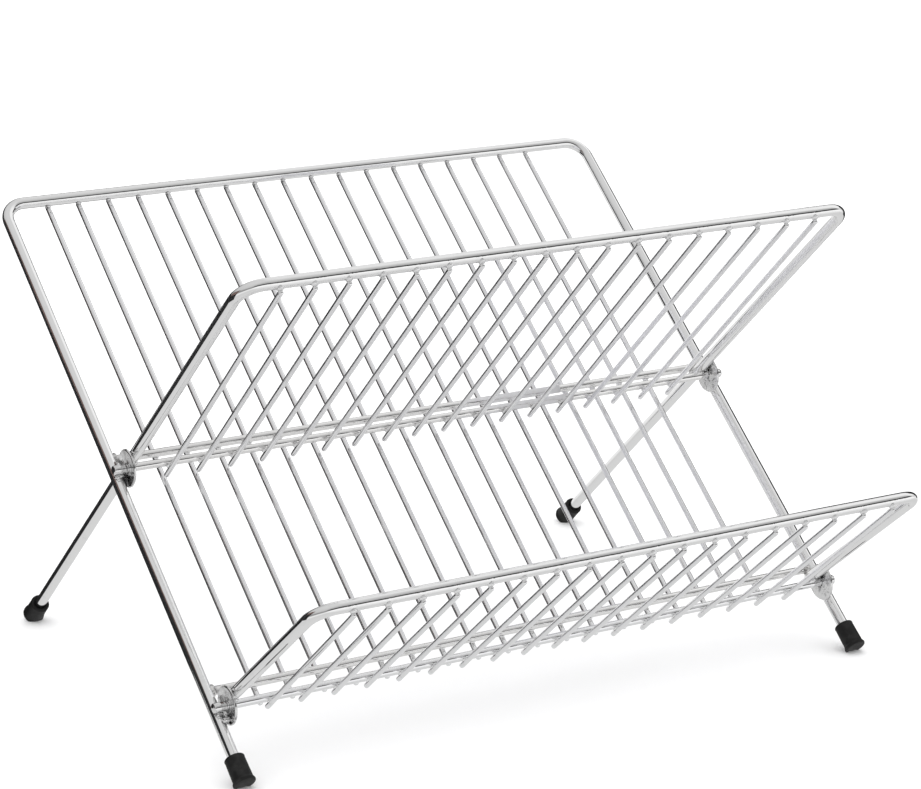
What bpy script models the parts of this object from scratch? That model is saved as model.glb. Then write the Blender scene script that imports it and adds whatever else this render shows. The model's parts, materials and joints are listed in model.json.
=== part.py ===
"""Folding two-tier dish rack of chromed wire: back panel, cross panel and cup basket."""
import math

import bmesh
import bpy
from mathutils import Matrix, Vector

MM = 0.001

# Driving dimensions, in millimetres and degrees.
back_half_width = 210.0       # middle of the rack to a back leg's centre line
inner_half_width = 200.4      # middle of the rack to a cross or basket leg's centre line
frame_radius = 3.5
bar_radius = 2.5
wire_radius = 1.6
gap = 0.3                     # clearance kept between neighbouring pieces
bend_radius = 13.5            # centre line of every frame corner

back_angle = 40.0             # each panel's angle to the counter
cross_angle = 42.0
basket_angle = 38.5
back_length = 418.0           # counter to top rail, along the back leg
upper_pivot_along = 212.5     # counter to the foot of the upper pivot, along the back leg
lower_pivot_along = 50.0
cross_upper_length = 197.0    # upper pivot to the cross panel's top rail
basket_length = 127.0         # lower pivot to the basket's top rail
pivot_depth = 7.55            # back leg's centre line to the pivot axes
pivot_to_leg = 5.0            # pivot axis to the centre line of the leg it carries

sleeve_radius = 2.9
sleeve_bore = 1.9
sleeve_inner_x = 206.0
sleeve_outer_x = 214.2
sleeve_end_wall = 1.0         # closes the sleeve's outer end
saddle_half_length = 1.8      # seat between sleeve and leg, along the leg
saddle_half_width = 2.7
saddle_sink = 0.7             # how deep the seat runs into the sleeve's wall
spigot_radius = 1.6           # thinner end of each pivot bar, inside its sleeve
disc_radius = 11.3
disc_bore = 2.8
disc_inner_x = 204.2
disc_outer_x = 205.7

crossbar_half_length = 206.2
crossbar_depth = -1.0         # crossbar centre from the back leg's centre line
lower_bar_along = 65.0

wire_count = 18
back_pitch = 20.4
back_middle = -5.7
back_wire_low = 52.5
cross_pitch = 20.8
cross_middle = -2.0
cross_stub = 9.2              # how far each wire runs on past its pivot bar
basket_pitch = 21.0
basket_middle = -0.5
basket_stub = 7.0
basket_weld_sink = 0.7        # how deep the basket's wires sink into their bar

cap_radius = 6.0
cap_lip_radius = 6.7
cap_lip_height = 1.6
cap_length = 17.0
cap_bore = 3.8
cap_floor = 4.0               # rubber left under the leg's end
cap_flat = 2.0                # height cut from the cap's low edge to make its flat foot

stop_pin_radius = 1.5
stop_pin_along = -7.3
stop_pin_depth = 5.3
stop_pin_outer_x = 210.0

depth_shift = 29.16           # moves the whole rack so its outline is centred on the origin


def yz(y, z):
    return Vector((y, z))


def at(x, point):
    """World position of a point on the side profile, at a distance x across the rack."""
    return Vector((x, point.x + depth_shift, point.y)) * MM


# Side profile: directions along each panel and square to it, towards its load side.
back_dir = yz(math.cos(math.radians(back_angle)), math.sin(math.radians(back_angle)))
back_normal = yz(-back_dir.y, back_dir.x)
cross_dir = yz(-math.cos(math.radians(cross_angle)), math.sin(math.radians(cross_angle)))
cross_normal = yz(cross_dir.y, -cross_dir.x)
basket_dir = yz(-math.cos(math.radians(basket_angle)), math.sin(math.radians(basket_angle)))
basket_normal = yz(basket_dir.y, -basket_dir.x)

back_foot = -back_dir * upper_pivot_along - back_normal * pivot_depth
back_foot = yz(back_foot.x, 0.0)
upper_pivot = back_foot + back_dir * upper_pivot_along + back_normal * pivot_depth
lower_pivot = back_foot + back_dir * lower_pivot_along + back_normal * pivot_depth
cross_base = upper_pivot + cross_normal * pivot_to_leg
basket_base = lower_pivot + basket_normal * pivot_to_leg
cross_lower_length = cross_base.y / cross_dir.y
cross_foot = cross_base - cross_dir * cross_lower_length

rail_to_wire = frame_radius + gap + wire_radius
bar_to_wire = bar_radius + gap + wire_radius


# Scene set-up.
for old in list(bpy.data.objects):
    bpy.data.objects.remove(old, do_unlink=True)

rack = bpy.data.collections.new("folding_dish_rack")
cutters = bpy.data.collections.new("cutters")
bpy.context.scene.collection.children.link(rack)
bpy.context.scene.collection.children.link(cutters)
cutters.hide_render = True


def chrome(name):
    mat = bpy.data.materials.new(name + "_chrome")
    mat.use_nodes = True
    shader = mat.node_tree.nodes["Principled BSDF"]
    shader.inputs["Base Color"].default_value = (0.72, 0.73, 0.75, 1.0)
    shader.inputs["Metallic"].default_value = 1.0
    shader.inputs["Roughness"].default_value = 0.12
    return mat


def rubber(name):
    mat = bpy.data.materials.new(name + "_rubber")
    mat.use_nodes = True
    shader = mat.node_tree.nodes["Principled BSDF"]
    shader.inputs["Base Color"].default_value = (0.012, 0.012, 0.013, 1.0)
    shader.inputs["Roughness"].default_value = 0.6
    return mat


def pivot_empty(name, point):
    empty = bpy.data.objects.new(name, None)
    empty.empty_display_size = 0.02
    empty.location = at(0.0, point)
    rack.objects.link(empty)
    return empty


def hang(obj, empty):
    """Parent a moving piece to its pivot without moving it."""
    if empty is not None:
        obj.parent = empty
        obj.matrix_parent_inverse = Matrix.Translation(empty.location).inverted()


def rod(name, points, radius, empty=None, sides_level=4):
    """Round rod or wire swept along straight runs and bends, with closed ends."""
    curve = bpy.data.curves.new(name, "CURVE")
    curve.dimensions = "3D"
    curve.bevel_depth = radius * MM
    curve.bevel_resolution = sides_level
    curve.use_fill_caps = True
    spline = curve.splines.new("POLY")
    spline.points.add(len(points) - 1)
    for knot, point in zip(spline.points, points):
        knot.co = (point.x, point.y, point.z, 1.0)
    obj = bpy.data.objects.new(name, curve)
    rack.objects.link(obj)
    curve.materials.append(chrome(name))
    hang(obj, empty)
    return obj


def meshed(obj):
    """Replace a swept rod with a welded mesh of the same shape, ready for cuts."""
    graph = bpy.context.evaluated_depsgraph_get()
    mesh = bpy.data.meshes.new_from_object(obj.evaluated_get(graph))
    shape = bmesh.new()
    shape.from_mesh(mesh)
    bmesh.ops.remove_doubles(shape, verts=shape.verts, dist=0.00001)
    shape.to_mesh(mesh)
    shape.free()
    for face in mesh.polygons:
        face.use_smooth = True
    name = obj.name
    parent = obj.parent
    placed = obj.matrix_world.copy()
    curve = obj.data
    bpy.data.objects.remove(obj, do_unlink=True)
    bpy.data.curves.remove(curve)
    solid = bpy.data.objects.new(name, mesh)
    rack.objects.link(solid)
    solid.matrix_world = placed
    if parent is not None:
        hang(solid, parent)
    return solid


def turned(name, profile, centre, direction, steps, mat=None, empty=None):
    """Solid of revolution: profile of (radius, height), its axis laid along a direction."""
    mesh = bpy.data.meshes.new(name)
    points = [Vector((r * MM, 0.0, h * MM)) for r, h in profile]
    mesh.from_pydata(points, [(i, i + 1) for i in range(len(points) - 1)], [])
    obj = bpy.data.objects.new(name, mesh)
    rack.objects.link(obj)
    obj.location = centre
    obj.rotation_euler = direction.to_track_quat("Z", "Y").to_euler()
    screw = obj.modifiers.new("turn", "SCREW")
    screw.axis = "Z"
    screw.steps = steps
    screw.render_steps = steps
    screw.use_merge_vertices = True
    screw.merge_threshold = 0.00001
    screw.use_smooth_shade = True
    if mat is not None:
        mesh.materials.append(mat)
    hang(obj, empty)
    return obj


def cylinder_profile(radius, half):
    return [(0.0, half), (radius, half), (radius, -half), (0.0, -half)]


def as_cutter(obj):
    rack.objects.unlink(obj)
    cutters.objects.link(obj)
    obj.hide_render = True
    obj.display_type = "WIRE"
    return obj


def combine(target, tool, operation):
    step = target.modifiers.new(operation.lower(), "BOOLEAN")
    step.operation = operation
    step.solver = "EXACT"
    step.object = tool


def frame_path(half_width, base, along, low, high):
    """Centre line of one panel's frame: up one leg, round the top rail, down the other."""
    points = [at(-half_width, base + along * low)]
    turns = 8
    for side in (-1.0, 1.0):
        for i in range(turns + 1):
            step = i if side < 0 else turns - i
            swing = math.radians(90.0 * step / turns)
            x = half_width - bend_radius + bend_radius * math.cos(swing)
            height = high - bend_radius + bend_radius * math.sin(swing)
            points.append(at(side * x, base + along * height))
    points.append(at(half_width, base + along * low))
    return points


def comb_positions(pitch, middle):
    first = middle - pitch * (wire_count - 1) / 2.0
    return [first + pitch * i for i in range(wire_count)]


def block(name, half_size, centre, tilt):
    """Plain box, turned about X by an angle in degrees."""
    mesh = bpy.data.meshes.new(name)
    shape = bmesh.new()
    bmesh.ops.create_cube(shape, size=2.0 * MM, matrix=Matrix.Diagonal((*half_size, 1.0)))
    shape.to_mesh(mesh)
    shape.free()
    obj = bpy.data.objects.new(name, mesh)
    rack.objects.link(obj)
    obj.location = centre
    obj.rotation_euler.x = math.radians(tilt)
    return obj


def foot_cap(name, x, foot, along, angle, empty=None):
    """Lipped rubber foot with a blind socket for the leg and a small flat to stand on."""
    tilt = math.radians(angle)
    end = (cap_lip_radius * math.cos(tilt) - cap_flat) / math.sin(tilt)
    r = cap_radius
    top = cap_length
    profile = [
        (0.0, cap_floor), (cap_bore, cap_floor), (cap_bore, top), (r - 1.2, top),
        (r - 0.5, top - 0.3), (r, top - 1.2), (r, cap_lip_height + 1.0),
        (cap_lip_radius, cap_lip_height), (cap_lip_radius, 0.0), (0.0, 0.0),
    ]
    cap = turned(name, profile, at(x, foot + along * end),
                 at(0.0, foot + along) - at(0.0, foot), 24, rubber(name), empty)
    below = block(name + "_floor", (20.0, 20.0, 20.0), at(x, foot - yz(0.0, 20.0)), 0.0)
    combine(cap, as_cutter(below), "DIFFERENCE")
    return cap, end + cap_floor + gap


across = Vector((1.0, 0.0, 0.0))
upper_empty = pivot_empty("upper_pivot", upper_pivot)
lower_empty = pivot_empty("lower_pivot", lower_pivot)

# Back panel: the long leaning frame that carries both pivots and stands on the front feet.
for side, label in ((-1.0, "left"), (1.0, "right")):
    cap, leg_low = foot_cap("front_foot_" + label, side * back_half_width,
                            back_foot, back_dir, back_angle)
rod("back_frame", frame_path(back_half_width, back_foot, back_dir, leg_low, back_length),
    frame_radius)

# The stop bar sits one gap clear of the open cross panel's legs.
spread = math.radians(180.0 - back_angle - cross_angle)
reach = frame_radius + gap + bar_radius + pivot_to_leg
stop_along = (reach - (pivot_depth - crossbar_depth) * math.cos(spread)) / math.sin(spread)
stop_centre = back_foot + back_dir * (upper_pivot_along + stop_along)
stop_centre = stop_centre + back_normal * crossbar_depth
lower_centre = back_foot + back_dir * lower_bar_along + back_normal * crossbar_depth
for name, centre in (("back_stop_bar", stop_centre), ("back_lower_bar", lower_centre)):
    rod(name, [at(-crossbar_half_length, centre), at(crossbar_half_length, centre)], bar_radius)

for i, x in enumerate(comb_positions(back_pitch, back_middle)):
    low = back_foot + back_dir * back_wire_low - back_normal * rail_to_wire
    high = back_foot + back_dir * back_length - back_normal * rail_to_wire
    rod("back_wire_%02d" % (i + 1), [at(x, low), at(x, high)], wire_radius, None, 3)



def blind_sleeve(name, side, pivot):
    """Tube closed at its outer end, with the seat that joins it to the back leg."""
    half = (sleeve_outer_x - sleeve_inner_x) / 2.0
    profile = [
        (0.0, half), (sleeve_radius, half), (sleeve_radius, -half), (sleeve_bore, -half),
        (sleeve_bore, half - sleeve_end_wall), (0.0, half - sleeve_end_wall),
    ]
    tube = turned(name, profile, at(side * (sleeve_inner_x + half), pivot), across * side, 24,
                  chrome(name))
    low = frame_radius + gap - pivot_depth
    high = saddle_sink - sleeve_radius
    seat = block(name + "_seat", (saddle_half_width, saddle_half_length, (high - low) / 2.0),
                 at(side * back_half_width, pivot + back_normal * (high + low) / 2.0),
                 back_angle)
    combine(tube, as_cutter(seat), "UNION")


for side, label in ((-1.0, "left"), (1.0, "right")):
    blind_sleeve("upper_sleeve_" + label, side, upper_pivot)
    blind_sleeve("lower_sleeve_" + label, side, lower_pivot)


def hinge_disc(level, label, side, pivot, empty):
    name = "%s_disc_%s" % (level, label)
    half = (disc_outer_x - disc_inner_x) / 2.0
    middle = at(side * (disc_inner_x + half), pivot)
    rim = disc_radius - 0.4
    edge = half - 0.4
    profile = [
        (0.0, half), (rim, half), (disc_radius, edge), (disc_radius, -edge),
        (rim, -half), (0.0, -half),
    ]
    disc = turned(name, profile, middle, across, 32, chrome(name), empty)
    bore = turned(name + "_bore", cylinder_profile(disc_bore, half + 2.0), middle, across, 16)
    combine(disc, as_cutter(bore), "DIFFERENCE")


def pivot_bar(name, pivot, empty):
    """Bar with a thinner spigot at each end, which turns in the sleeves."""
    end = sleeve_outer_x - sleeve_end_wall - gap
    profile = [
        (0.0, end), (spigot_radius, end), (spigot_radius, disc_outer_x),
        (bar_radius, disc_outer_x), (bar_radius, -disc_outer_x),
        (spigot_radius, -disc_outer_x), (spigot_radius, -end), (0.0, -end),
    ]
    return turned(name, profile, at(0.0, pivot), across, 16, chrome(name), empty)


def saddled_frame(name, base, along, low, high, pivot, empty):
    """Panel frame whose legs are hollowed where they sit on the pivot bar."""
    legs = meshed(rod(name, frame_path(inner_half_width, base, along, low, high),
                      frame_radius, empty))
    saddle = turned(name + "_saddle", cylinder_profile(bar_radius + gap, 215.0),
                    at(0.0, pivot), across, 16)
    combine(legs, as_cutter(saddle), "DIFFERENCE")
    return legs


# Cross panel: plate rests above the upper pivot and the rear legs below it.
for side, label in ((-1.0, "left"), (1.0, "right")):
    cap, leg_low = foot_cap("rear_foot_" + label, side * inner_half_width,
                            cross_foot, cross_dir, cross_angle, upper_empty)
    hinge_disc("upper", label, side, upper_pivot, upper_empty)
saddled_frame("cross_frame", cross_base, cross_dir, leg_low - cross_lower_length,
              cross_upper_length, upper_pivot, upper_empty)
pivot_bar("cross_pivot_bar", upper_pivot, upper_empty)

cross_top = cross_base + cross_dir * cross_upper_length - cross_normal * rail_to_wire
cross_low = upper_pivot - cross_normal * bar_to_wire
run = (cross_low - cross_top).normalized()
for i, x in enumerate(comb_positions(cross_pitch, cross_middle)):
    rod("cross_wire_%02d" % (i + 1), [at(x, cross_low + run * cross_stub), at(x, cross_top)],
        wire_radius, upper_empty, 3)

# Cup basket: the short lower tier, one comb of wires welded to its pivot bar.
saddled_frame("basket_frame", basket_base, basket_dir, -4.0, basket_length, lower_pivot,
              lower_empty)
basket_top = basket_base + basket_dir * basket_length - basket_normal * rail_to_wire
basket_low = lower_pivot - basket_normal * (bar_radius + wire_radius - basket_weld_sink)
run = (basket_low - basket_top).normalized()
comb = pivot_bar("basket_comb", lower_pivot, lower_empty)
teeth = bmesh.new()
for i, x in enumerate(comb_positions(basket_pitch, basket_middle)):
    tooth = meshed(rod("tooth", [at(x, basket_low + run * basket_stub), at(x, basket_top)],
                       wire_radius, None, 3))
    teeth.from_mesh(tooth.data)
    bpy.data.objects.remove(tooth, do_unlink=True)
teeth_mesh = bpy.data.meshes.new("basket_teeth")
teeth.to_mesh(teeth_mesh)
teeth.free()
basket_teeth = bpy.data.objects.new("basket_teeth", teeth_mesh)
rack.objects.link(basket_teeth)
combine(comb, as_cutter(basket_teeth), "UNION")

for side, label in ((-1.0, "left"), (1.0, "right")):
    hinge_disc("lower", label, side, lower_pivot, lower_empty)
    name = "stop_pin_" + label
    half = (stop_pin_outer_x - disc_outer_x - gap) / 2.0
    offset = back_dir * stop_pin_along + back_normal * (stop_pin_depth - pivot_depth)
    turned(name, cylinder_profile(stop_pin_radius, half),
           at(side * (stop_pin_outer_x - half), lower_pivot + offset), across, 16,
           chrome(name), lower_empty)
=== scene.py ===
"""Looks of the folding dish rack: chromed rods with weld beads, rubber feet, studio light."""

import json
import math
import random

import bpy
import numpy as np
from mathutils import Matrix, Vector


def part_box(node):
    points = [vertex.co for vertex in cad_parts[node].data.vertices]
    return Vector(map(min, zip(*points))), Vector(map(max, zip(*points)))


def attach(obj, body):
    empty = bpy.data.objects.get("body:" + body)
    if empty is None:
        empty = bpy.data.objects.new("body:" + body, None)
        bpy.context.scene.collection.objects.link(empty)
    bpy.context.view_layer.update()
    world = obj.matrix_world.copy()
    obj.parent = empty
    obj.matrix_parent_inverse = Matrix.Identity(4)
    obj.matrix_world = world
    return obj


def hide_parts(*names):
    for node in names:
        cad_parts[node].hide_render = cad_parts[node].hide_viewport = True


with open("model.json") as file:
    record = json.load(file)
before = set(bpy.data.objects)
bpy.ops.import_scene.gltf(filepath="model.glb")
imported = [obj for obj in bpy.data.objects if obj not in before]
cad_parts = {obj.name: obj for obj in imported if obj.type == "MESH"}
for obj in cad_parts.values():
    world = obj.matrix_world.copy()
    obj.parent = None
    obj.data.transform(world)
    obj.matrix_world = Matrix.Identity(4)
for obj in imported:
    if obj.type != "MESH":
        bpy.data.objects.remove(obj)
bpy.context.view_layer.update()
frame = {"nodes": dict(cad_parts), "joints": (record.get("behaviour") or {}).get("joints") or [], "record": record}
scene = bpy.context.scene
rng = random.Random(7)

MM = 0.001
X = np.array([1.0, 0.0, 0.0])
Y = np.array([0.0, 1.0, 0.0])
PIVOTS = {j["child"]: np.array(j["pos_m"]) for j in frame["joints"]}
UPPER, LOWER = PIVOTS["cross_panel"], PIVOTS["cup_basket"]
BODIES = frame["record"]["behaviour"]["bodies"]
BODY_OF = {node: body for body, nodes in BODIES.items() for node in nodes}
SLOT_OF = {s["node"]: s["material_slot"] for s in frame["record"]["subparts"]}

# Radii of the rods, and of what turns in what.
FRAME_R = 3.5 * MM
BAR_R = 2.5 * MM
WIRE_R = 1.6 * MM
SPIGOT_R = 1.55 * MM
SLEEVE_BORE_R = 1.9 * MM
SLEEVE_END_WALL = 1.0 * MM
DISC_BORE_R = 2.75 * MM

# Sides of each round piece.
FRAME_SIDES = 32
BAR_SIDES = 28
WIRE_SIDES = 16
SLEEVE_SIDES = 36
DISC_SIDES = 64
PIN_SIDES = 24
FOOT_SIDES = 56

# How far the duller finish of a weld reaches.
FRAME_WELD_REACH = 5.0 * MM
WIRE_WELD_REACH = 5.0 * MM
BAR_WELD_REACH = 4.5 * MM
SEAT_WELD_REACH = 4.5 * MM
DISC_WELD_REACH = 7.0 * MM

ROD_GIRTH = 0.022       # one turn round a frame rod, in metres, for the draw lines
WIRE_BOW = 0.12 * MM    # most that a wire bends sideways


# ---------------------------------------------------------------- materials
def new_material(name, colour, metallic, roughness):
    mat = bpy.data.materials.new(name)
    mat.use_nodes = True
    shader = mat.node_tree.nodes["Principled BSDF"]
    shader.inputs["Base Color"].default_value = (*colour, 1.0)
    shader.inputs["Metallic"].default_value = metallic
    shader.inputs["Roughness"].default_value = roughness
    return mat, mat.node_tree, shader


def node(tree, kind, **values):
    """New node; each value goes to the input of that name, or else to the property."""
    made = tree.nodes.new(kind)
    for key, value in values.items():
        if key in made.inputs:
            made.inputs[key].default_value = value
        else:
            setattr(made, key, value)
    return made


def mix_colour(tree, factor, a, b):
    """Blend between two colours, each a socket or a plain value."""
    mix = node(tree, "ShaderNodeMix", data_type="RGBA")
    tree.links.new(factor, mix.inputs[0])
    for socket, value in ((mix.inputs[6], a), (mix.inputs[7], b)):
        if isinstance(value, tuple):
            socket.default_value = value
        else:
            tree.links.new(value, socket)
    return mix.outputs[2]


def remap(tree, value, low, high, to_low, to_high):
    """Stretch low..high onto to_low..to_high, held at its ends."""
    made = node(tree, "ShaderNodeMapRange")
    made.clamp = True
    tree.links.new(value, made.inputs["Value"])
    made.inputs["From Min"].default_value = low
    made.inputs["From Max"].default_value = high
    made.inputs["To Min"].default_value = to_low
    made.inputs["To Max"].default_value = to_high
    return made.outputs["Result"]


def maths(tree, operation, a, b):
    """One sum or product; each side is a socket or a plain number."""
    made = node(tree, "ShaderNodeMath", operation=operation)
    for socket, value in zip(made.inputs, (a, b)):
        if isinstance(value, float):
            socket.default_value = value
        else:
            tree.links.new(value, socket)
    return made.outputs[0]


def noise(tree, vector, scale, detail, roughness):
    made = node(tree, "ShaderNodeTexNoise", Scale=scale, Detail=detail, Roughness=roughness)
    tree.links.new(vector, made.inputs["Vector"])
    return made.outputs["Fac"]


def bump_from(tree, shader, height, distance):
    bump = node(tree, "ShaderNodeBump", Strength=1.0, Distance=distance)
    tree.links.new(height, bump.inputs["Height"])
    tree.links.new(bump.outputs["Normal"], shader.inputs["Normal"])


def chrome_material(name, colour, weld_colour, dull, soot):
    """Plated steel: faint draw lines along the rod, water marks, duller sooty welds."""
    water_mark = tuple(0.88 * c for c in colour) + (1.0,)
    burn = (0.035, 0.035, 0.04, 1.0)
    line_height, pit_height = 0.000008, 0.00022
    mat, tree, shader = new_material(name, colour, 1.0, 0.1)
    along = node(tree, "ShaderNodeUVMap", uv_map="along")
    drawn = node(tree, "ShaderNodeMapping")
    drawn.inputs["Scale"].default_value = (900.0, 9.0, 1.0)
    tree.links.new(along.outputs["UV"], drawn.inputs["Vector"])
    lines = noise(tree, drawn.outputs["Vector"], 1.0, 4.0, 0.6)
    place = node(tree, "ShaderNodeTexCoord").outputs["Object"]
    marks = noise(tree, place, 95.0, 5.0, 0.62)
    pits = noise(tree, place, 950.0, 2.0, 0.5)
    burns = noise(tree, place, 300.0, 4.0, 0.6)
    weld = node(tree, "ShaderNodeAttribute", attribute_name="weld").outputs["Fac"]
    stained = remap(tree, marks, 0.56, 0.72, 0.0, 0.35)
    tinted = mix_colour(tree, stained, (*colour, 1.0), water_mark)
    sooty = remap(tree, burns, 0.50, 0.60, 0.0, soot)
    welded = mix_colour(tree, sooty, (*weld_colour, 1.0), burn)
    tree.links.new(mix_colour(tree, weld, tinted, welded), shader.inputs["Base Color"])
    rough = remap(tree, lines, 0.35, 0.65, dull * 0.65, dull * 1.35)
    spots = remap(tree, marks, 0.60, 0.75, 0.0, 0.10)
    weld_rough = remap(tree, weld, 0.0, 1.0, 0.0, 0.11)
    total = maths(tree, "ADD", maths(tree, "ADD", rough, spots), weld_rough)
    tree.links.new(total, shader.inputs["Roughness"])
    ridges = maths(tree, "MULTIPLY", lines, line_height)
    pitted = maths(tree, "MULTIPLY", maths(tree, "MULTIPLY", pits, weld), pit_height)
    bump_from(tree, shader, maths(tree, "ADD", ridges, pitted), 1.0)
    return mat


def rubber_material():
    """Moulded black rubber: fine grain, a dusty bloom and scuffs where it meets the counter."""
    clean, dust = (0.006, 0.006, 0.006, 1.0), (0.022, 0.022, 0.022, 1.0)
    scuff_top = 5.0 * MM
    mat, tree, shader = new_material("foot_rubber", (0.012, 0.012, 0.013), 0.0, 0.55)
    shader.inputs["Specular IOR Level"].default_value = 0.22
    place = node(tree, "ShaderNodeTexCoord").outputs["Object"]
    grain = noise(tree, place, 2600.0, 2.0, 0.6)
    bloom = noise(tree, place, 210.0, 4.0, 0.6)
    height = node(tree, "ShaderNodeSeparateXYZ")
    tree.links.new(place, height.inputs["Vector"])
    scuffed = remap(tree, height.outputs["Z"], 0.0, scuff_top, 0.7, 0.0)
    dusty = maths(tree, "ADD", remap(tree, bloom, 0.48, 0.72, 0.0, 0.6),
                  maths(tree, "MULTIPLY", scuffed, bloom))
    tree.links.new(mix_colour(tree, dusty, clean, dust), shader.inputs["Base Color"])
    tree.links.new(remap(tree, bloom, 0.3, 0.7, 0.42, 0.68), shader.inputs["Roughness"])
    bump_from(tree, shader, grain, 0.08 * MM)
    return mat


# Name, colour, weld colour, roughness, and how much soot its welds carry.
CHROMES = (
    ("frame_chrome", (0.88, 0.88, 0.88), (0.88, 0.88, 0.88), 0.035, 0.1),
    ("bar_chrome", (0.86, 0.855, 0.85), (0.82, 0.81, 0.80), 0.07, 0.6),
    ("wire_chrome", (0.87, 0.87, 0.88), (0.90, 0.90, 0.90), 0.06, 0.15),
    ("hinge_chrome", (0.80, 0.80, 0.80), (0.76, 0.76, 0.76), 0.05, 0.7),
)
MATERIALS = {chrome[0]: chrome_material(*chrome) for chrome in CHROMES}
MATERIALS["foot_rubber"] = rubber_material()


# ---------------------------------------------------------------- mesh helpers
class Shape:
    """Collects rings of points into one mesh with a rod coordinate and a weld value."""

    def __init__(self):
        self.points, self.faces, self.uvs, self.weld = [], [], [], []

    def surface(self, rings, along, weld):
        """Skin a list of equal rings; the first and last may be single points."""
        starts = []
        for row in rings:
            starts.append(len(self.points))
            self.points.extend(row)
            self.weld.extend(weld(np.array(row)) if callable(weld) else [weld] * len(row))
        for i in range(len(rings) - 1):
            a, b = starts[i], starts[i + 1]
            na, nb = len(rings[i]), len(rings[i + 1])
            v0, v1 = along[i], along[i + 1]
            n = max(na, nb)
            for k in range(n):
                k2 = (k + 1) % n
                u0, u1 = k / n, (k + 1) / n
                middle_u = (u0 + u1) / 2
                if na == 1:
                    face = [a, b + k2, b + k]
                    uv = [(middle_u, v0), (u1, v1), (u0, v1)]
                elif nb == 1:
                    face = [a + k, a + k2, b]
                    uv = [(u0, v0), (u1, v0), (middle_u, v1)]
                else:
                    face = [a + k, a + k2, b + k2, b + k]
                    uv = [(u0, v0), (u1, v0), (u1, v1), (u0, v1)]
                self.faces.append(face)
                self.uvs.append(uv)

    def build(self, name):
        """One piece that stands for the CAD node of that name."""
        mesh = bpy.data.meshes.new(name + "_look")
        mesh.from_pydata([tuple(p) for p in self.points], [], self.faces)
        layer = mesh.uv_layers.new(name="along")
        for face, uv in zip(mesh.polygons, self.uvs):
            face.use_smooth = True
            for loop, (turn, run) in zip(face.loop_indices, uv):
                layer.data[loop].uv = (turn * ROD_GIRTH, run)
        weld = mesh.attributes.new("weld", "FLOAT", "POINT")
        weld.data.foreach_set("value", np.array(self.weld, np.float32))
        mesh.validate()
        mesh.update()
        piece = bpy.data.objects.new(name + "_look", mesh)
        scene.collection.objects.link(piece)
        slot = SLOT_OF[name]
        mesh.materials.append(MATERIALS[slot])
        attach(piece, BODY_OF[name])
        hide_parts(name)


def unit(v):
    return v / np.linalg.norm(v)


def ring(centre, side, up, radius, count):
    angles = [2.0 * math.pi * k / count for k in range(count)]
    return [centre + radius * (math.cos(a) * side + math.sin(a) * up) for a in angles]


def tube(shape, path, radii, count, weld, plane):
    """Round rod along a path in one plane; a radius of 0 closes an end to a point."""
    along, rings, travelled = [], [], 0.0
    for i, point in enumerate(path):
        before, after = path[max(i - 1, 0)], path[min(i + 1, len(path) - 1)]
        if i > 0:
            travelled += np.linalg.norm(point - path[i - 1])
        way = unit(after - before)
        up = unit(np.cross(way, plane))
        side = np.cross(up, way)
        rings.append([point] if radii[i] == 0 else ring(point, side, up, radii[i], count))
        along.append(travelled)
    shape.surface(rings, along, weld)


def rounded_rod(shape, start, end, radius, count, spacing, weld, bow=None, dome=0.8):
    """Straight rod with softly domed ends, inside its flat-ended length."""
    length = np.linalg.norm(end - start)
    way = (end - start) / length
    depth = radius * dome
    caps = [math.radians(a) for a in (0, 22, 45, 68, 90)]
    where, radii = [], []
    for a in caps:
        where.append(depth * (1 - math.cos(a)))
        radii.append(radius * math.sin(a))
    steps = max(2, int((length - 2 * depth) / spacing))
    for i in range(1, steps):
        where.append(depth + (length - 2 * depth) * i / steps)
        radii.append(radius)
    for a in reversed(caps):
        where.append(length - depth * (1 - math.cos(a)))
        radii.append(radius * math.sin(a))
    radii[0] = radii[-1] = 0
    path = [start + way * w for w in where]
    if bow is not None:
        path = [p + bow * math.sin(math.pi * w / length) for p, w in zip(path, where)]
    tube(shape, path, radii, count, weld, X if abs(way[0]) < 0.5 else Y)


def bead(shape, centre, a, b, c, seed, lumps, value):
    """Small uneven weld bead: an ellipsoid with half-axes a, b and c."""
    wobble = random.Random(seed)
    phase = [wobble.uniform(0, 6.28) for _ in range(4)]
    rings, along = [], []
    rows, columns = 7, 12
    for i in range(rows + 1):
        polar = math.pi * i / rows
        row = []
        for k in range(columns if 0 < i < rows else 1):
            turn = 2 * math.pi * k / columns
            swell = 1 + lumps * (math.sin(2 * turn + phase[0]) * math.sin(polar + phase[1])
                                 + 0.5 * math.sin(3 * turn + phase[2]))
            if i in (0, rows):
                swell = 1
            point = (math.sin(polar) * math.cos(turn) * a + math.sin(polar) * math.sin(turn) * b
                     + math.cos(polar) * c)
            row.append(centre + point * swell)
        rings.append(row)
        along.append(2 * MM * i)
    shape.surface(rings, along, value)


def lathe(shape, centre, axis, profile, count, weld, floor=None):
    """Turned piece: profile of (radius, height) along the axis, top to bottom outside.

    Points below floor, where it is given, are raised to it.
    """
    side = unit(np.cross(X if abs(axis[0]) < 0.5 else Y, axis))
    up = np.cross(axis, side)
    rings, along, travelled, last = [], [], 0.0, profile[0]
    for r, h in profile:
        point = centre + axis * h
        row = [point] if r == 0 else ring(point, side, up, r, count)
        if floor is not None:
            row = [np.array([p[0], p[1], max(p[2], floor)]) for p in row]
        travelled += math.hypot(r - last[0], h - last[1])
        last = (r, h)
        rings.append(row)
        along.append(travelled)
    shape.surface(rings, along, weld)


def near(points, spots, reach):
    """How close points are to any of the spots: 1 at a spot, falling to 0 past reach."""
    gaps = np.linalg.norm(points[:, None, :] - np.array(spots)[None, :, :], axis=2).min(axis=1)
    return np.clip(1.15 - gaps / reach, 0.0, 1.0)


# ---------------------------------------------------------------- reading the CAD rods
def vertices(name):
    return np.array([v.co[:] for v in frame["nodes"][name].data.vertices])


def corners(name):
    return [np.array(c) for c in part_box(name)]


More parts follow.
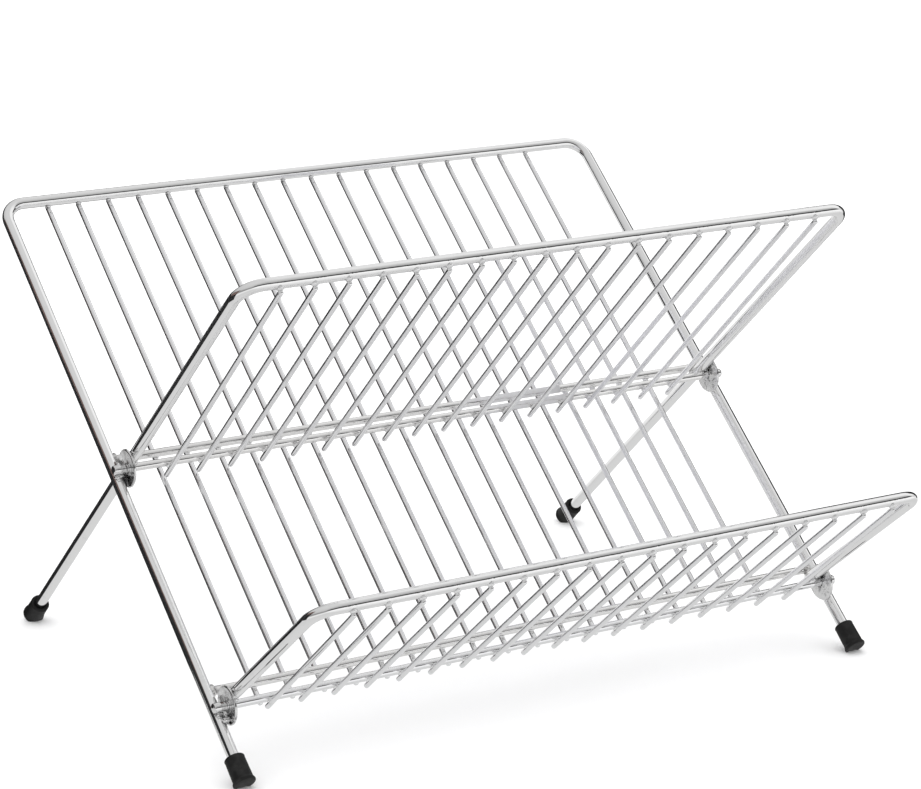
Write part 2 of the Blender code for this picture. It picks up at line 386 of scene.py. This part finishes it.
def middle(points):
    return (points.min(axis=0) + points.max(axis=0)) / 2


def straight(name):
    """Both ends of a straight rod's centre line, the higher or left end first."""
    slice_depth = 0.1 * MM
    points = vertices(name)
    centre = points.mean(axis=0)
    way = np.linalg.svd(points - centre, full_matrices=False)[2][0]
    if way[2] + 0.001 * way[0] > 0:
        way = -way
    run = (points - centre) @ way
    return (middle(points[run < run.min() + slice_depth]),
            middle(points[run > run.max() - slice_depth]))


def frame_lines(name):
    """A bent frame's rail point, leg end, leg distance from the middle and corner radius."""
    points = vertices(name)
    left = points[points[:, 0] < 0]
    rail = middle(left[left[:, 0] > left[:, 0].max() - MM])
    flat = points[:, 1:] - points[:, 1:].mean(axis=0)
    way = np.linalg.svd(flat, full_matrices=False)[2][0]
    run = (left[:, 1:] - rail[1:]) @ way
    if abs(run.min()) > abs(run.max()):
        run = -run
    low = middle(left[run > run.max() - MM])
    return rail, low, -low[0], rail[0] - low[0]


def frame_path(rail, low, half, bend):
    """Centre line up the left leg, round the rail and down the right leg."""
    leg_steps, corner_steps, rail_steps = 40, 16, 30
    down = low[1:] - rail[1:]
    length = np.linalg.norm(down)
    down = down / length
    half_path = [(half, length - (length - bend) * i / leg_steps) for i in range(leg_steps)]
    for i in range(corner_steps + 1):
        swing = math.radians(90.0 * i / corner_steps)
        half_path.append((half - bend + bend * math.cos(swing), bend - bend * math.sin(swing)))
    for i in range(1, rail_steps):
        half_path.append(((half - bend) * (1 - i / rail_steps), 0.0))
    left = [np.array([-x, *(rail[1:] + down * run)]) for x, run in half_path]
    right = [np.array([x, *(rail[1:] + down * run)]) for x, run in half_path]
    return left + [np.array([0.0, rail[1], rail[2]])] + right[::-1]


PANELS = {"back": "back_frame", "cross": "cross_frame", "basket": "basket_frame"}
LINES = {key: frame_lines(name) for key, name in PANELS.items()}


def direction(key):
    """The way down a panel's legs."""
    rail, low = LINES[key][:2]
    way = low - rail
    way[0] = 0
    return unit(way)


def weld_wire(shape, start, end, spot, rod_radius, seed):
    """Bead that joins a wire to the rod that crosses it at a spot, squeezed out on both sides."""
    way = unit(end - start)
    level = np.array([start[0], spot[1], spot[2]])
    on_wire = start + way * np.dot(level - start, way)
    rod = np.array([on_wire[0], spot[1], spot[2]])
    gap_way = unit(rod - on_wire)
    contact = (on_wire + gap_way * WIRE_R + rod - gap_way * rod_radius) / 2
    bead(shape, contact, X * 2.15 * MM, way * 2.5 * MM, gap_way * 1.15 * MM, seed, 0.10, 0.55)
    return contact


def welded_wire(shape, high, low, contacts, bow=None):
    """A wire whose finish is duller at its welds."""
    rounded_rod(shape, high, low, WIRE_R, WIRE_SIDES, 4 * MM,
                lambda p: 0.8 * near(p, contacts, WIRE_WELD_REACH), bow)


# ---------------------------------------------------------------- wires
bars = {name: straight(name) for name in ("back_stop_bar", "back_lower_bar")}
spots_of = {
    "back": [(LINES["back"][0], FRAME_R), (bars["back_stop_bar"][0], BAR_R),
             (bars["back_lower_bar"][0], BAR_R)],
    "cross": [(LINES["cross"][0], FRAME_R), (UPPER, BAR_R)],
}
weld_spots = {"back": [], "cross": [], "basket": []}
for panel in ("back", "cross"):
    for name in sorted(n for n in frame["nodes"] if n.startswith(panel + "_wire")):
        high, low = straight(name)
        piece = Shape()
        contacts = [weld_wire(piece, high, low, spot, radius, name + str(i))
                    for i, (spot, radius) in enumerate(spots_of[panel])]
        weld_spots[panel].append(contacts)
        bow = np.array([rng.uniform(-1, 1), 0, 0]) * WIRE_BOW
        welded_wire(piece, high, low, contacts, bow)
        piece.build(name)


# ---------------------------------------------------------------- pivot bars, basket comb
def pivot_bar(shape, name, pivot, spots):
    """Straight bar whose thinner ends turn in the sleeves."""
    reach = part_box(name)[1][0]
    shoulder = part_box("upper_disc_right")[1][0]
    chamfer, shoulder_round = 0.2 * MM, 0.25 * MM
    steps = 60
    tip = [(0, reach), (SPIGOT_R - chamfer, reach), (SPIGOT_R, reach - chamfer),
           (SPIGOT_R, shoulder + 0.05 * MM), (BAR_R - shoulder_round, shoulder)]
    body = [(BAR_R, (shoulder - shoulder_round) * (1 - 2 * i / steps)) for i in range(steps + 1)]
    tail = [(r, -h) for r, h in reversed(tip)]
    centre = np.array([0.0, pivot[1], pivot[2]])
    lathe(shape, centre, X, tip + body + tail, BAR_SIDES,
          lambda p: near(p, spots, BAR_WELD_REACH))


comb = Shape()
basket_rail = LINES["basket"][0]
comb_points = vertices("basket_comb")
height_up = (comb_points[:, 1:] - LOWER[1:]) @ -direction("basket")[1:]
ahead = comb_points[height_up > 20 * MM]
ahead = ahead[np.argsort(ahead[:, 0])]
columns = np.split(ahead, np.where(np.diff(ahead[:, 0]) > 5 * MM)[0] + 1)
low_end = comb_points[height_up < -4 * MM]
for i, column in enumerate(columns):
    high = middle(column)
    low = middle(low_end[np.abs(low_end[:, 0] - high[0]) < 3 * MM])
    contacts = [weld_wire(comb, high, low, basket_rail, FRAME_R, "basket%d" % i),
                weld_wire(comb, high, low, LOWER, BAR_R, "basket_low%d" % i)]
    weld_spots["basket"].append(contacts)
    welded_wire(comb, high, low, contacts)
pivot_bar(comb, "basket_comb", LOWER, [c[1] for c in weld_spots["basket"]])
comb.build("basket_comb")

bar = Shape()
pivot_bar(bar, "cross_pivot_bar", UPPER, [c[1] for c in weld_spots["cross"]])
bar.build("cross_pivot_bar")

# ---------------------------------------------------------------- crossbars
# Fillet weld round a crossbar's end: radius over the bar's, and millimetres along it.
FILLET = ((0.98, 3.0), (1.04, 2.0), (1.22, 1.0), (1.55, 0.1), (1.5, -0.7), (0, -1.0))
for index, name in enumerate(("back_stop_bar", "back_lower_bar")):
    left, right = bars[name]
    piece = Shape()
    spots = [c[index + 1] for c in weld_spots["back"]] + [left, right]
    rounded_rod(piece, left, right, BAR_R, BAR_SIDES, 6 * MM,
                lambda p: near(p, spots, BAR_WELD_REACH), dome=0.1)
    for end, side in ((left, 1.0), (right, -1.0)):
        lathe(piece, end, X * side, [(BAR_R * r, h * MM) for r, h in FILLET], 20, 0.9)
    piece.build(name)

# ---------------------------------------------------------------- frames
for key, name in PANELS.items():
    path = frame_path(*LINES[key])
    spots = [c[0] for c in weld_spots[key]]
    tip = 1e-6 * direction(key)
    path = [path[0] + tip] + path + [path[-1] + tip]
    radii = [0] + [FRAME_R] * (len(path) - 2) + [0]
    piece = Shape()
    tube(piece, path, radii, FRAME_SIDES, lambda p: 0.9 * near(p, spots, FRAME_WELD_REACH),
         unit(np.cross(X, direction(key))))
    piece.build(name)


# ---------------------------------------------------------------- hinges
def sleeve(name, side, pivot):
    """Blind sleeve on a back leg, with the welded seat under it."""
    low, high = corners(name)
    inner, outer = sorted((low[0], high[0]), key=abs)
    centre = np.array([(inner + outer) / 2, pivot[1], pivot[2]])
    half = abs(outer - inner) / 2
    radius = high[2] - pivot[2]
    piece = Shape()
    profile = [(0, half), (radius * 0.55, half - 0.05 * MM), (radius * 0.85, half - 0.3 * MM),
               (radius * 0.97, half - 0.75 * MM), (radius, half - 1.3 * MM), (radius, 0),
               (radius, 0.4 * MM - half), (radius - 0.3 * MM, -half), (SLEEVE_BORE_R, -half),
               (SLEEVE_BORE_R, half - SLEEVE_END_WALL), (0, half - SLEEVE_END_WALL)]
    leg_top = pivot - back_up * (np.dot(pivot - LINES["back"][0], back_up) - FRAME_R)
    seat = np.array([side * LINES["back"][2], leg_top[1], leg_top[2]])
    lathe(piece, centre, X * side, profile, SLEEVE_SIDES,
          lambda p: 0.15 + 0.6 * near(p, [seat], SEAT_WELD_REACH))
    for way in (-1.0, 1.0):
        spot = seat + back_way * way * 2.0 * MM + back_up * 0.25 * MM
        bead(piece, spot, X * 3.1 * MM, back_way * 1.9 * MM, back_up * 1.25 * MM,
             name + str(way), 0.16, 1.0)
    bead(piece, seat + back_up * 0.5 * MM, X * 2.9 * MM, back_way * 1.7 * MM,
         back_up * 1.1 * MM, name + "seat", 0.08, 1.0)
    piece.build(name)


def disc(name, side, pivot, key, welds):
    """Dished washer, welded to a moving panel's leg: place along the leg and half-length, mm."""
    low, high = corners(name)
    centre = (low + high) / 2
    half = (high - low)[0] / 2
    outer = (high - low)[2] / 2
    dish_r = 5.0 * MM
    dish_steps = 6
    piece = Shape()
    face = [(DISC_BORE_R, half * 0.5), (3.4 * MM, half * 0.86), (4.1 * MM, half * 0.72),
            (dish_r, half * 0.45)]
    dish = [(dish_r + (outer - dish_r - 1.0 * MM) * i / dish_steps,
             half * (0.45 + 0.45 * (i / dish_steps) ** 2)) for i in range(1, dish_steps + 1)]
    rim = [(outer - 0.55 * MM, half), (outer - 0.2 * MM, half * 0.8), (outer, half * 0.25),
           (outer - 0.02 * MM, -half * 0.4), (outer - 0.3 * MM, -half * 0.9),
           (outer - 0.8 * MM, -half), (DISC_BORE_R, -half)]
    lathe(piece, centre, X * side, [(DISC_BORE_R, -half)] + face + dish + rim, DISC_SIDES,
          lambda p: 0.4 + 0.6 * near(p, [centre], DISC_WELD_REACH))
    rail, _, leg_half, _ = LINES[key]
    way = direction(key)
    foot = rail + way * np.dot(pivot - rail, way)
    leg_face = np.array([side * (leg_half + FRAME_R), foot[1], foot[2]])
    for place, length in welds:
        spot = leg_face + way * place * MM - X * side * 0.35 * MM
        bead(piece, spot, X * 1.6 * MM, way * length * MM, np.cross(way, X) * 1.3 * MM,
             name + str(place), 0.2, 1.0)
    piece.build(name)


back_way = direction("back")
back_up = unit(np.cross(back_way, X))
if back_up[2] < 0:
    back_up = -back_up
SIDES = ((-1.0, "left"), (1.0, "right"))
ABOVE, BELOW = (-5.0, 3.6), (4.6, 3.0)
for level, pivot, key, welds in (("upper", UPPER, "cross", (ABOVE, BELOW)),
                                 ("lower", LOWER, "basket", (ABOVE,))):
    for side, label in SIDES:
        sleeve("%s_sleeve_%s" % (level, label), side, pivot)
        disc("%s_disc_%s" % (level, label), side, pivot, key, welds)

for side, label in SIDES:
    name = "stop_pin_" + label
    low, high = corners(name)
    half = (high - low)[0] / 2
    radius = (high - low)[2] / 2
    piece = Shape()
    profile = [(0, half), (radius * 0.6, half - 0.08 * MM), (radius * 0.9, half - 0.35 * MM),
               (radius, half - 0.8 * MM), (radius, 0.8 * MM - half), (radius * 0.95, -half),
               (0, -half)]
    lathe(piece, (low + high) / 2, X * side, profile, PIN_SIDES, 0.5)
    piece.build(name)

# ---------------------------------------------------------------- rubber feet
# Cap from the socket over its rounded mouth, down its tapered wall and over its lip to the
# sole: radius and height above the sole, in millimetres.
CAP_TOP = 17.0
SOCKET_R = FRAME_R / MM + 0.02
CAP = [(SOCKET_R, 12.0), (SOCKET_R, CAP_TOP - 1.0), (SOCKET_R + 0.33, CAP_TOP - 0.3),
       (4.3, CAP_TOP - 0.02), (4.9, CAP_TOP), (5.45, CAP_TOP - 0.2), (5.8, CAP_TOP - 0.6),
       (5.93, CAP_TOP - 1.1), (5.8, CAP_TOP - 1.9)]
CAP += [(5.8 + 0.02 * i, CAP_TOP - 2.2 - i) for i in range(10)]
CAP += [(6.0, 3.2), (6.1, 2.6), (6.35, 2.1), (6.6, 1.7), (6.7, 1.3), (6.7, 0.8), (6.55, 0.4),
        (6.2, 0.12), (5.7, 0), (3.5, 0), (1.8, 0), (0, 0)]
SOLE_DROP = 4.3 * MM    # from the leg's end to the sole
for key, prefix in (("back", "front_foot"), ("cross", "rear_foot")):
    _, low, half, _ = LINES[key]
    way = direction(key)
    for side, label in SIDES:
        sole = np.array([side * half, low[1], low[2]]) + way * SOLE_DROP
        piece = Shape()
        lathe(piece, sole, -way, [(r * MM, h * MM) for r, h in CAP], FOOT_SIDES, 0.0, 0.0)
        piece.build("%s_%s" % (prefix, label))


# ---------------------------------------------------------------- floor, light, camera
def floor_material():
    mat, tree, shader = new_material("pale_floor", (0.86, 0.86, 0.86), 0.0, 0.6)
    place = node(tree, "ShaderNodeTexCoord").outputs["Object"]
    soft = noise(tree, place, 3.0, 2.0, 0.5)
    tree.links.new(mix_colour(tree, soft, (0.85, 0.85, 0.855, 1.0), (0.87, 0.87, 0.872, 1.0)),
                   shader.inputs["Base Color"])
    return mat


def stage_sheet(name, sheet_corners, mat):
    """Flat sheet that belongs to the studio and not to the rack."""
    mesh = bpy.data.meshes.new(name)
    mesh.from_pydata(sheet_corners, [], [(0, 1, 2, 3)])
    mesh.materials.append(mat)
    sheet = bpy.data.objects.new(name, mesh)
    scene.collection.objects.link(sheet)
    return sheet


def card(name, low, high, mat):
    """Upright studio sheet between two corners, seen only as a reflection in the chrome."""
    (x0, y0, z0), (x1, y1, z1) = low, high
    sheet = stage_sheet(name, [(x0, y0, z0), (x1, y1, z0), (x1, y1, z1), (x0, y0, z1)], mat)
    sheet.visible_camera = False
    sheet.visible_diffuse = False
    sheet.visible_shadow = False


FLOOR_REACH = 12.0
floor = stage_sheet("floor", [(-FLOOR_REACH, -FLOOR_REACH, 0), (FLOOR_REACH, -FLOOR_REACH, 0),
                              (FLOOR_REACH, FLOOR_REACH, 0), (-FLOOR_REACH, FLOOR_REACH, 0)],
                    floor_material())
floor.visible_glossy = False

# Dark flags give the left rods their black bands and the right corners their dark arcs. The
# pale card keeps the right rods light.
black = new_material("flag_black", (0.012, 0.012, 0.013), 0.0, 0.9)[0]
brown = new_material("flag_brown", (0.13, 0.085, 0.075), 0.0, 0.9)[0]
pale = new_material("white_card", (0.62, 0.62, 0.64), 0.0, 0.9)[0]
card("left_flag", (-0.55, -0.10, 0.0), (-0.55, 0.34, 0.30), black)
card("upper_left_flag", (-0.55, -0.10, 0.30), (-0.55, 0.42, 0.46), brown)
card("back_flag", (-0.60, 0.36, 0.03), (0.0, 0.36, 0.36), black)
card("low_back_flag", (-0.70, 0.37, -0.15), (-0.10, 0.37, 0.04), black)
card("right_flag", (0.46, 0.28, 0.0), (0.74, -0.06, 0.48), black)
card("plate_card", (0.10, -0.05, 0.0), (0.10, 0.13, 0.26), pale)

# Greys of the studio by height: the sine of the elevation, and the brightness.
AROUND = ((-1.0, 0.74), (-0.4, 0.70), (-0.1, 0.95), (0.0, 0.85), (0.10, 0.30), (0.28, 0.32),
          (0.5, 0.62), (0.75, 0.66), (0.9, 0.70), (1.0, 0.72))
FRONT = ((-1.0, 0.80), (-0.3, 0.92), (-0.02, 1.1), (0.12, 1.05), (0.15, 0.02), (0.36, 0.03),
         (0.44, 0.36), (0.6, 0.50), (0.80, 0.66), (1.0, 0.74))
WHITE = (1.0, 1.0, 1.0, 1.0)


def studio_world():
    """Pale studio with a dark band above the horizon, darkest in front, and two soft lights.

    The camera itself sees plain white.
    """
    world = bpy.data.worlds.new("studio")
    world.use_nodes = True
    tree = world.node_tree
    way = node(tree, "ShaderNodeTexCoord").outputs["Generated"]
    height = node(tree, "ShaderNodeSeparateXYZ")
    tree.links.new(way, height.inputs["Vector"])
    level = remap(tree, height.outputs["Z"], -1.0, 1.0, 0.0, 1.0)

    def lobe(axis, inner, outer):
        """1 within inner degrees of a direction, falling to 0 at outer degrees."""
        dot = node(tree, "ShaderNodeVectorMath", operation="DOT_PRODUCT")
        tree.links.new(way, dot.inputs[0])
        dot.inputs[1].default_value = Vector(axis).normalized()
        made = node(tree, "ShaderNodeMapRange", interpolation_type="SMOOTHSTEP")
        tree.links.new(dot.outputs["Value"], made.inputs["Value"])
        made.inputs["From Min"].default_value = math.cos(math.radians(outer))
        made.inputs["From Max"].default_value = math.cos(math.radians(inner))
        return made.outputs["Result"]

    def bands(levels):
        ramp = node(tree, "ShaderNodeValToRGB")
        tree.links.new(level, ramp.inputs["Fac"])
        stops = ramp.color_ramp.elements
        while len(stops) < len(levels):
            stops.new(0.5)
        for stop, (sine, _) in zip(stops, levels):
            stop.position = (sine + 1) / 2
        for stop, (_, grey) in zip(stops, levels):
            stop.color = (grey, grey, grey, 1)
        return ramp.outputs["Color"]

    around, front = bands(AROUND), bands(FRONT)
    colour = mix_colour(tree, lobe((0.5, -0.85, 0.25), 38, 62), around, front)
    colour = mix_colour(tree, lobe((0.82, 0.1, 0.57), 15, 38), colour, (0.98, 0.98, 0.98, 1.0))
    colour = mix_colour(tree, lobe((0.55, 0.68, 0.52), 12, 30), colour, (0.86, 0.86, 0.86, 1.0))
    seen = node(tree, "ShaderNodeLightPath").outputs["Is Camera Ray"]
    background = tree.nodes["Background"]
    tree.links.new(mix_colour(tree, seen, colour, WHITE), background.inputs["Color"])
    background.inputs["Strength"].default_value = 1.0
    return world


scene.world = studio_world()

sky = bpy.data.objects.new("sky", bpy.data.lights.new("sky", "SUN"))
scene.collection.objects.link(sky)
sky.data.energy = 3.0
sky.data.angle = math.radians(150.0)
sky.rotation_euler = (math.radians(12.0), math.radians(-8.0), 0.0)
sky.visible_glossy = False

# The photo's angle: from the basket side, turned from +Y towards +X, and looking down.
HEADING, DIP = math.radians(30.816), math.radians(15.322)
camera = bpy.data.objects.new("camera", bpy.data.cameras.new("camera"))
scene.collection.objects.link(camera)
camera.data.sensor_width = 36.0
camera.data.lens = 116.1
camera.data.clip_end = 100.0
look = Vector((math.sin(HEADING) * math.cos(DIP), math.cos(HEADING) * math.cos(DIP),
               -math.sin(DIP)))
camera.location = (-0.88097, -1.47949, 0.63643)
camera.rotation_euler = look.to_track_quat("-Z", "Y").to_euler()
scene.camera = camera
scene.view_settings.view_transform = "Standard"
